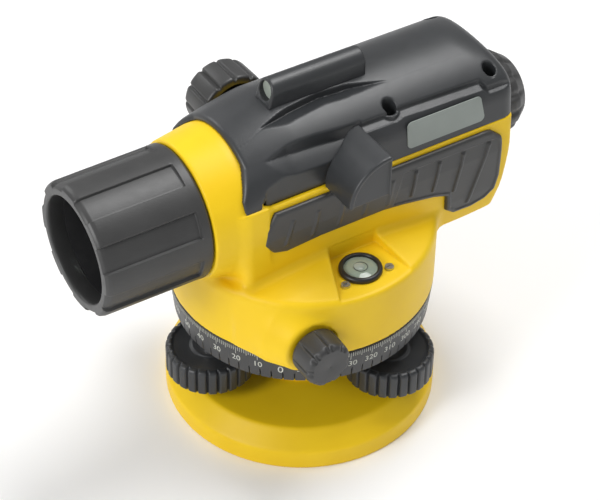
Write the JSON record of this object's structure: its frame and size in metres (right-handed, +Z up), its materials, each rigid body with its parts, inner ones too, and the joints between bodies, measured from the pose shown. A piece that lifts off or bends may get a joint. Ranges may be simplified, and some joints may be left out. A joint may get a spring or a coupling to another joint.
{
  "type": "automatic level",
  "caption": "Automatic surveying level: a telescope with focusing knob, eyepiece and circular bubble turning over a graduated circle, levelling screws and a round footplate.",
  "frame": {"origin": "centre of the tripod thread's mouth in the footplate's flat underside, on the vertical turning axis", "axes": "+Z up along the turning axis, +X along the line of sight towards the objective, +Y towards the side with the circular bubble and its mirror"},
  "size_m": [0.2125, 0.134, 0.1707],
  "materials": {
    "yellow_paint": "satin yellow powder coat on cast aluminium",
    "black_plastic": "satin, fine grain",
    "black_rubber": "matte",
    "scale_black": "matte with pale figures",
    "label_grey": "satin",
    "steel": "turned",
    "spring_steel": "blued",
    "brass": "turned",
    "aluminium": "satin",
    "black_anodised": "black anodised",
    "optical_glass": "polished",
    "vial_glass": "polished, filled",
    "mirror_coat": "silvered",
    "painted_head": "satin black paint on cast aluminium"
  },
  "bodies": {
    "base": {"base_plate": "yellow_paint", "tripod_bush": "brass", "spring_plate": "yellow_paint", "spring_plate_screws": "steel", "levelling_head": "painted_head", "foot_screw_bushes": "brass", "axis_spindle": "steel", "axis_retainer": "steel"},
    "foot_screw_1": {"foot_knob_1": "black_plastic", "foot_spindle_1": "steel"},
    "foot_screw_2": {"foot_knob_2": "black_plastic", "foot_spindle_2": "steel"},
    "foot_screw_3": {"foot_knob_3": "black_plastic", "foot_spindle_3": "steel"},
    "circle": {"horizontal_circle": "scale_black"},
    "clutch": {"clutch_wheel": "brass"},
    "drive": {"drive_shaft": "steel", "drive_knob_left": "black_rubber", "drive_knob_right": "black_rubber"},
    "focus_drive": {"focus_shaft": "steel", "focus_knob": "black_rubber"},
    "carriage": {"focus_carriage": "aluminium", "focus_lens": "optical_glass"},
    "pendulum": {"pendulum": "aluminium", "pendulum_prism": "optical_glass"},
    "dioptre_ring": {"eyepiece_ring": "black_rubber"},
    "eyepiece_slide": {"eyepiece_cell": "black_anodised", "eyepiece_lenses": "optical_glass"},
    "telescope": {"body_housing": "yellow_paint", "axis_bush": "brass", "top_cover": "black_plastic", "cover_screws": "steel", "label_plate": "label_grey", "side_grip_left": "black_rubber", "side_grip_right": "black_rubber", "collimator_sight": "black_plastic", "sight_lens": "optical_glass", "mirror_hood": "black_plastic", "mirror_glass": "mirror_coat", "bubble_cup": "black_anodised", "bubble_vial": "vial_glass", "bubble_screws": "steel", "drive_bushes": "brass", "focus_bush": "brass", "guide_tube": "black_anodised", "objective_hood": "black_rubber", "objective_cell": "black_anodised", "objective_lens_front": "optical_glass", "objective_lens_rear": "optical_glass", "objective_ring": "black_anodised", "compensator_frame": "aluminium", "fixed_prisms": "optical_glass", "suspension_tapes": "spring_steel", "damper_magnet": "spring_steel", "eyepiece_tube": "black_anodised", "reticle_ring": "brass", "reticle_glass": "optical_glass"}
  },
  "joints": [
    {"name": "foot_screw_1_turn", "type": "hinge", "parent": "base", "child": "foot_screw_1", "pos_m": [0.04474, -0.00234, 0.031], "axis": [0, 0, 1], "range_deg": [-1080, 1080]},
    {"name": "foot_screw_2_turn", "type": "hinge", "parent": "base", "child": "foot_screw_2", "pos_m": [-0.02034, 0.03992, 0.031], "axis": [0, 0, 1], "range_deg": [-1080, 1080]},
    {"name": "foot_screw_3_turn", "type": "hinge", "parent": "base", "child": "foot_screw_3", "pos_m": [-0.0244, -0.03757, 0.031], "axis": [0, 0, 1], "range_deg": [-1080, 1080]},
    {"name": "circle_turn", "type": "hinge", "parent": "base", "child": "circle", "pos_m": [0, 0, 0.056], "axis": [0, 0, 1], "continuous": true},
    {"name": "telescope_turn", "type": "hinge", "parent": "base", "child": "telescope", "pos_m": [0, 0, 0.085], "axis": [0, 0, 1], "continuous": true},
    {"name": "drive_turn", "type": "hinge", "parent": "telescope", "child": "drive", "pos_m": [0.0285, 0, 0.0723], "axis": [0, 1, 0], "continuous": true},
    {"name": "clutch_turn", "type": "hinge", "parent": "telescope", "child": "clutch", "pos_m": [0, 0, 0.0723], "axis": [0, 0, 1], "continuous": true},
    {"name": "focus_turn", "type": "hinge", "parent": "telescope", "child": "focus_drive", "pos_m": [0.0115, -0.035, 0.1303], "axis": [0, 1, 0], "range_deg": [-180, 180]},
    {"name": "focus_slide", "type": "slide", "parent": "telescope", "child": "carriage", "axis": [1, 0, 0], "range_m": [-0.0095, 0.0095]},
    {"name": "pendulum_swing", "type": "hinge", "parent": "telescope", "child": "pendulum", "pos_m": [-0.032, 0, 0.139], "axis": [0, 1, 0], "range_deg": [-0.5, 0.5]},
    {"name": "dioptre_turn", "type": "hinge", "parent": "telescope", "child": "dioptre_ring", "pos_m": [-0.095, 0, 0.121], "axis": [1, 0, 0], "range_deg": [-150, 150]},
    {"name": "eyepiece_focus", "type": "slide", "parent": "telescope", "child": "eyepiece_slide", "axis": [1, 0, 0], "range_m": [-0.002, 0.002]}
  ],
  "couplings": [
    {"joint": "clutch_turn", "follows": "drive_turn", "ratio": 0.020833},
    {"joint": "focus_slide", "follows": "focus_turn", "m_per_rad": -0.003},
    {"joint": "eyepiece_focus", "follows": "dioptre_turn", "m_per_rad": 0.00075}
  ]
}
